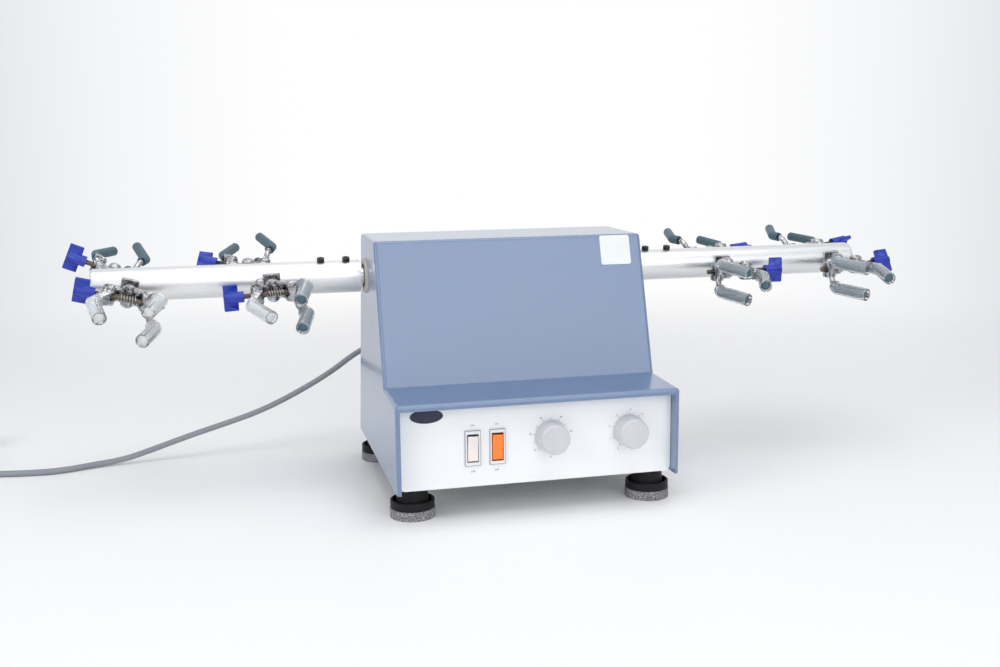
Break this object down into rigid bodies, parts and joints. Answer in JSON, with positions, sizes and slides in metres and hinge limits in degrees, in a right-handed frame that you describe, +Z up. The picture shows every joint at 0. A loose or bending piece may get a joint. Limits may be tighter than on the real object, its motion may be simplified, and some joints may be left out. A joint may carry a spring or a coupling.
{
  "type": "flask shaker",
  "caption": "Bench flask shaker: a sloped housing on round feet rocks two side arms that carry three-finger flask clamps, with rocker switches and two dials on its front.",
  "frame": {"origin": "on the bench, under the middle of the object's box without its mains lead", "axes": "+X to the right along the arms, +Y to the back, +Z up; the control panel faces -Y"},
  "size_m": [1.1716, 0.4856, 0.276],
  "materials": {
    "cover_paint": "matt",
    "panel_paint": "satin",
    "sheet_steel": "satin",
    "pad_rubber": "matt, speckled",
    "cup_plastic": "satin",
    "black_steel": "satin",
    "frame_aluminium": "as cast",
    "cream_plastic": "satin",
    "bearing_steel": "polished",
    "shaft_steel": "ground",
    "belt_rubber": "matt",
    "motor_paint": "satin",
    "board_plastic": "satin",
    "switch_black": "satin",
    "key_cream": "gloss",
    "key_orange": "gloss, lit",
    "knob_grey": "matt",
    "arm_aluminium": "polished",
    "jaw_nickel": "bright nickel",
    "boss_nickel": "bright nickel",
    "screw_blue": "satin",
    "cord_grey": "satin"
  },
  "bodies": {
    "housing": {"cover": "cover_paint", "base_plate": "sheet_steel", "control_panel": "panel_paint", "foot_pads": "pad_rubber", "foot_cups": "cup_plastic", "rubber_feet": "cup_plastic", "housing_screws": "sheet_steel", "side_frames": "frame_aluminium", "side_rings": "cream_plastic", "drive_frames": "frame_aluminium", "ball_bearings": "bearing_steel", "drive_belt": "belt_rubber", "motor_body": "motor_paint", "motor_saddle": "frame_aluminium", "control_board": "board_plastic", "panel_units": "switch_black", "cord_gland": "cord_grey", "mains_cord": "cord_grey", "cord_coil": "cord_grey", "mains_plug": "cord_grey"},
    "rocker": {"rocker_shaft": "shaft_steel", "rocker_lever": "frame_aluminium", "arm_tubes": "arm_aluminium", "arm_hubs": "frame_aluminium", "tube_plugs": "cup_plastic", "arm_screws": "black_steel", "clamp_bosses": "boss_nickel", "clamp_boss_front_right_inner": "boss_nickel"},
    "crank": {"crank_shaft": "shaft_steel", "cam_bearing": "bearing_steel", "crank_pulley": "frame_aluminium"},
    "motor": {"motor_shaft": "shaft_steel"},
    "mains_rocker": {"mains_rocker": "key_cream"},
    "run_rocker": {"run_rocker": "key_orange"},
    "timer_knob": {"timer_knob": "knob_grey"},
    "speed_knob": {"speed_knob": "knob_grey"},
    "single_front_left_outer": {"single_jaw_front_left_outer": "jaw_nickel"},
    "double_front_left_outer": {"double_jaw_front_left_outer": "jaw_nickel"},
    "screw_front_left_outer": {"clamp_screw_front_left_outer": "screw_blue"},
    "single_front_left_inner": {"single_jaw_front_left_inner": "jaw_nickel"},
    "double_front_left_inner": {"double_jaw_front_left_inner": "jaw_nickel"},
    "screw_front_left_inner": {"clamp_screw_front_left_inner": "screw_blue"},
    "single_front_right_inner": {"single_jaw_front_right_inner": "jaw_nickel"},
    "double_front_right_inner": {"double_jaw_front_right_inner": "jaw_nickel"},
    "screw_front_right_inner": {"clamp_screw_front_right_inner": "screw_blue"},
    "single_front_right_outer": {"single_jaw_front_right_outer": "jaw_nickel"},
    "double_front_right_outer": {"double_jaw_front_right_outer": "jaw_nickel"},
    "screw_front_right_outer": {"clamp_screw_front_right_outer": "screw_blue"},
    "single_rear_left_outer": {"single_jaw_rear_left_outer": "jaw_nickel"},
    "double_rear_left_outer": {"double_jaw_rear_left_outer": "jaw_nickel"},
    "screw_rear_left_outer": {"clamp_screw_rear_left_outer": "screw_blue"},
    "single_rear_left_inner": {"single_jaw_rear_left_inner": "jaw_nickel"},
    "double_rear_left_inner": {"double_jaw_rear_left_inner": "jaw_nickel"},
    "screw_rear_left_inner": {"clamp_screw_rear_left_inner": "screw_blue"},
    "single_rear_right_inner": {"single_jaw_rear_right_inner": "jaw_nickel"},
    "double_rear_right_inner": {"double_jaw_rear_right_inner": "jaw_nickel"},
    "screw_rear_right_inner": {"clamp_screw_rear_right_inner": "screw_blue"},
    "single_rear_right_outer": {"single_jaw_rear_right_outer": "jaw_nickel"},
    "double_rear_right_outer": {"double_jaw_rear_right_outer": "jaw_nickel"},
    "screw_rear_right_outer": {"clamp_screw_rear_right_outer": "screw_blue"}
  },
  "joints": [
    {"name": "arm_rock", "type": "hinge", "parent": "housing", "child": "rocker", "pos_m": [0, 0.0425, 0.2315], "axis": [1, 0, 0], "range_deg": [-10, 10]},
    {"name": "crank_turn", "type": "hinge", "parent": "housing", "child": "crank", "pos_m": [0, 0.0425, 0.1915], "axis": [1, 0, 0], "range_deg": [-90.5, 90.5]},
    {"name": "motor_turn", "type": "hinge", "parent": "housing", "child": "motor", "pos_m": [0, -0.0255, 0.09], "axis": [1, 0, 0], "range_deg": [-181, 181]},
    {"name": "mains_rocker_press", "type": "hinge", "parent": "housing", "child": "mains_rocker", "pos_m": [-0.0696, -0.1375, 0.0735], "axis": [1, 0, 0], "range_deg": [-10, 0]},
    {"name": "run_rocker_press", "type": "hinge", "parent": "housing", "child": "run_rocker", "pos_m": [-0.0437, -0.1375, 0.0735], "axis": [1, 0, 0], "range_deg": [-10, 0]},
    {"name": "timer_knob_turn", "type": "hinge", "parent": "housing", "child": "timer_knob", "pos_m": [0.0133, -0.1395, 0.0803], "axis": [0, 1, 0], "range_deg": [0, 300]},
    {"name": "speed_knob_turn", "type": "hinge", "parent": "housing", "child": "speed_knob", "pos_m": [0.0985, -0.1395, 0.0803], "axis": [0, 1, 0], "range_deg": [0, 270]},
    {"name": "screw_turn_front_left_outer", "type": "hinge", "parent": "rocker", "child": "screw_front_left_outer", "pos_m": [-0.40449, -0.00202, 0.22168], "axis": [-0.9694, -0.0102, 0.2454], "range_deg": [-50, 1600]},
    {"name": "single_close_front_left_outer", "type": "hinge", "parent": "rocker", "child": "single_front_left_outer", "pos_m": [-0.404, 0.00932, 0.22408], "axis": [-0.2419, 0.2117, -0.9469], "range_deg": [-16.02, 0.52]},
    {"name": "double_close_front_left_outer", "type": "hinge", "parent": "rocker", "child": "double_front_left_outer", "pos_m": [-0.404, 0.00932, 0.22408], "axis": [-0.2419, 0.2117, -0.9469], "range_deg": [-0.52, 16.02]},
    {"name": "screw_turn_front_left_inner", "type": "hinge", "parent": "rocker", "child": "screw_front_left_inner", "pos_m": [-0.25339, -0.00196, 0.2216], "axis": [-0.9948, -0.086, -0.0548], "range_deg": [-550, 1150]},
    {"name": "single_close_front_left_inner", "type": "hinge", "parent": "rocker", "child": "single_front_left_inner", "pos_m": [-0.2545, 0.00932, 0.22408], "axis": [0.0349, 0.218, -0.9753], "range_deg": [-11.52, 5.52]},
    {"name": "double_close_front_left_inner", "type": "hinge", "parent": "rocker", "child": "double_front_left_inner", "pos_m": [-0.2545, 0.00932, 0.22408], "axis": [0.0349, 0.218, -0.9753], "range_deg": [-5.52, 11.52]},
    {"name": "screw_turn_front_right_inner", "type": "hinge", "parent": "rocker", "child": "screw_front_right_inner", "pos_m": [0.27399, -0.00269, 0.22547], "axis": [0.999, -0.0444, 0.0029], "range_deg": [-1150, 600]},
    {"name": "single_close_front_right_inner", "type": "hinge", "parent": "rocker", "child": "single_front_right_inner", "pos_m": [0.2745, 0.0088, 0.227], "axis": [-0.0087, -0.1323, 0.9912], "range_deg": [-6.02, 11.52]},
    {"name": "double_close_front_right_inner", "type": "hinge", "parent": "rocker", "child": "double_front_right_inner", "pos_m": [0.2745, 0.0088, 0.227], "axis": [-0.0087, -0.1323, 0.9912], "range_deg": [-11.52, 6.02]},
    {"name": "screw_turn_front_right_outer", "type": "hinge", "parent": "rocker", "child": "screw_front_right_outer", "pos_m": [0.41961, -0.00269, 0.22552], "axis": [0.9956, 0.0415, 0.0846], "range_deg": [-800, 950]},
    {"name": "single_close_front_right_outer", "type": "hinge", "parent": "rocker", "child": "single_front_right_outer", "pos_m": [0.419, 0.0088, 0.227], "axis": [-0.0785, -0.1318, 0.9882], "range_deg": [-9.52, 8.02]},
    {"name": "double_close_front_right_outer", "type": "hinge", "parent": "rocker", "child": "double_front_right_outer", "pos_m": [0.419, 0.0088, 0.227], "axis": [-0.0785, -0.1318, 0.9882], "range_deg": [-8.02, 9.52]},
    {"name": "screw_turn_rear_left_outer", "type": "hinge", "parent": "rocker", "child": "screw_rear_left_outer", "pos_m": [-0.42359, 0.08699, 0.24149], "axis": [-0.917, -0.0955, 0.3872], "range_deg": [-400, 200]},
    {"name": "single_close_rear_left_outer", "type": "hinge", "parent": "rocker", "child": "single_rear_left_outer", "pos_m": [-0.4235, 0.07568, 0.23892], "axis": [0.3987, -0.2001, 0.895], "range_deg": [-2.02, 4.02]},
    {"name": "double_close_rear_left_outer", "type": "hinge", "parent": "rocker", "child": "double_rear_left_outer", "pos_m": [-0.4235, 0.07568, 0.23892], "axis": [0.3987, -0.2001, 0.895], "range_deg": [-4.02, 2.02]},
    {"name": "screw_turn_rear_left_inner", "type": "hinge", "parent": "rocker", "child": "screw_rear_left_inner", "pos_m": [-0.2768, 0.08692, 0.24123], "axis": [-0.9827, 0.1198, 0.1415], "range_deg": [-600, 350]},
    {"name": "single_close_rear_left_inner", "type": "hinge", "parent": "rocker", "child": "single_rear_left_inner", "pos_m": [-0.2785, 0.07568, 0.23892], "axis": [0.1132, -0.2167, 0.9696], "range_deg": [-3.52, 6.02]},
    {"name": "double_close_rear_left_inner", "type": "hinge", "parent": "rocker", "child": "double_rear_left_inner", "pos_m": [-0.2785, 0.07568, 0.23892], "axis": [0.1132, -0.2167, 0.9696], "range_deg": [-6.02, 3.52]},
    {"name": "screw_turn_rear_right_inner", "type": "hinge", "parent": "rocker", "child": "screw_rear_right_inner", "pos_m": [0.28059, 0.08763, 0.23741], "axis": [0.9895, 0.1105, 0.0933], "range_deg": [-150, 1200]},
    {"name": "single_close_rear_right_inner", "type": "hinge", "parent": "rocker", "child": "single_rear_right_inner", "pos_m": [0.282, 0.0762, 0.236], "axis": [0.0785, 0.1318, -0.9882], "range_deg": [-12.02, 1.52]},
    {"name": "double_close_rear_right_inner", "type": "hinge", "parent": "rocker", "child": "double_rear_right_inner", "pos_m": [0.282, 0.0762, 0.236], "axis": [0.0785, 0.1318, -0.9882], "range_deg": [-1.52, 12.02]},
    {"name": "screw_turn_rear_right_outer", "type": "hinge", "parent": "rocker", "child": "screw_rear_right_outer", "pos_m": [0.4151, 0.08757, 0.23728], "axis": [0.9789, 0.1477, 0.141], "range_deg": [-250, 200]},
    {"name": "single_close_rear_right_outer", "type": "hinge", "parent": "rocker", "child": "single_rear_right_outer", "pos_m": [0.417, 0.0762, 0.236], "axis": [0.1219, 0.1313, -0.9838], "range_deg": [-2.02, 2.52]},
    {"name": "double_close_rear_right_outer", "type": "hinge", "parent": "rocker", "child": "double_rear_right_outer", "pos_m": [0.417, 0.0762, 0.236], "axis": [0.1219, 0.1313, -0.9838], "range_deg": [-2.52, 2.02]}
  ],
  "couplings": [
    {"joint": "crank_turn", "follows": "arm_rock", "ratio": 9},
    {"joint": "motor_turn", "follows": "arm_rock", "ratio": 18},
    {"joint": "single_close_front_left_outer", "follows": "screw_turn_front_left_outer", "ratio": -0.01},
    {"joint": "double_close_front_left_outer", "follows": "screw_turn_front_left_outer", "ratio": 0.01},
    {"joint": "single_close_front_left_inner", "follows": "screw_turn_front_left_inner", "ratio": -0.01},
    {"joint": "double_close_front_left_inner", "follows": "screw_turn_front_left_inner", "ratio": 0.01},
    {"joint": "single_close_front_right_inner", "follows": "screw_turn_front_right_inner", "ratio": -0.01},
    {"joint": "double_close_front_right_inner", "follows": "screw_turn_front_right_inner", "ratio": 0.01},
    {"joint": "single_close_front_right_outer", "follows": "screw_turn_front_right_outer", "ratio": -0.01},
    {"joint": "double_close_front_right_outer", "follows": "screw_turn_front_right_outer", "ratio": 0.01},
    {"joint": "single_close_rear_left_outer", "follows": "screw_turn_rear_left_outer", "ratio": -0.01},
    {"joint": "double_close_rear_left_outer", "follows": "screw_turn_rear_left_outer", "ratio": 0.01},
    {"joint": "single_close_rear_left_inner", "follows": "screw_turn_rear_left_inner", "ratio": -0.01},
    {"joint": "double_close_rear_left_inner", "follows": "screw_turn_rear_left_inner", "ratio": 0.01},
    {"joint": "single_close_rear_right_inner", "follows": "screw_turn_rear_right_inner", "ratio": -0.01},
    {"joint": "double_close_rear_right_inner", "follows": "screw_turn_rear_right_inner", "ratio": 0.01},
    {"joint": "single_close_rear_right_outer", "follows": "screw_turn_rear_right_outer", "ratio": -0.01},
    {"joint": "double_close_rear_right_outer", "follows": "screw_turn_rear_right_outer", "ratio": 0.01}
  ]
}
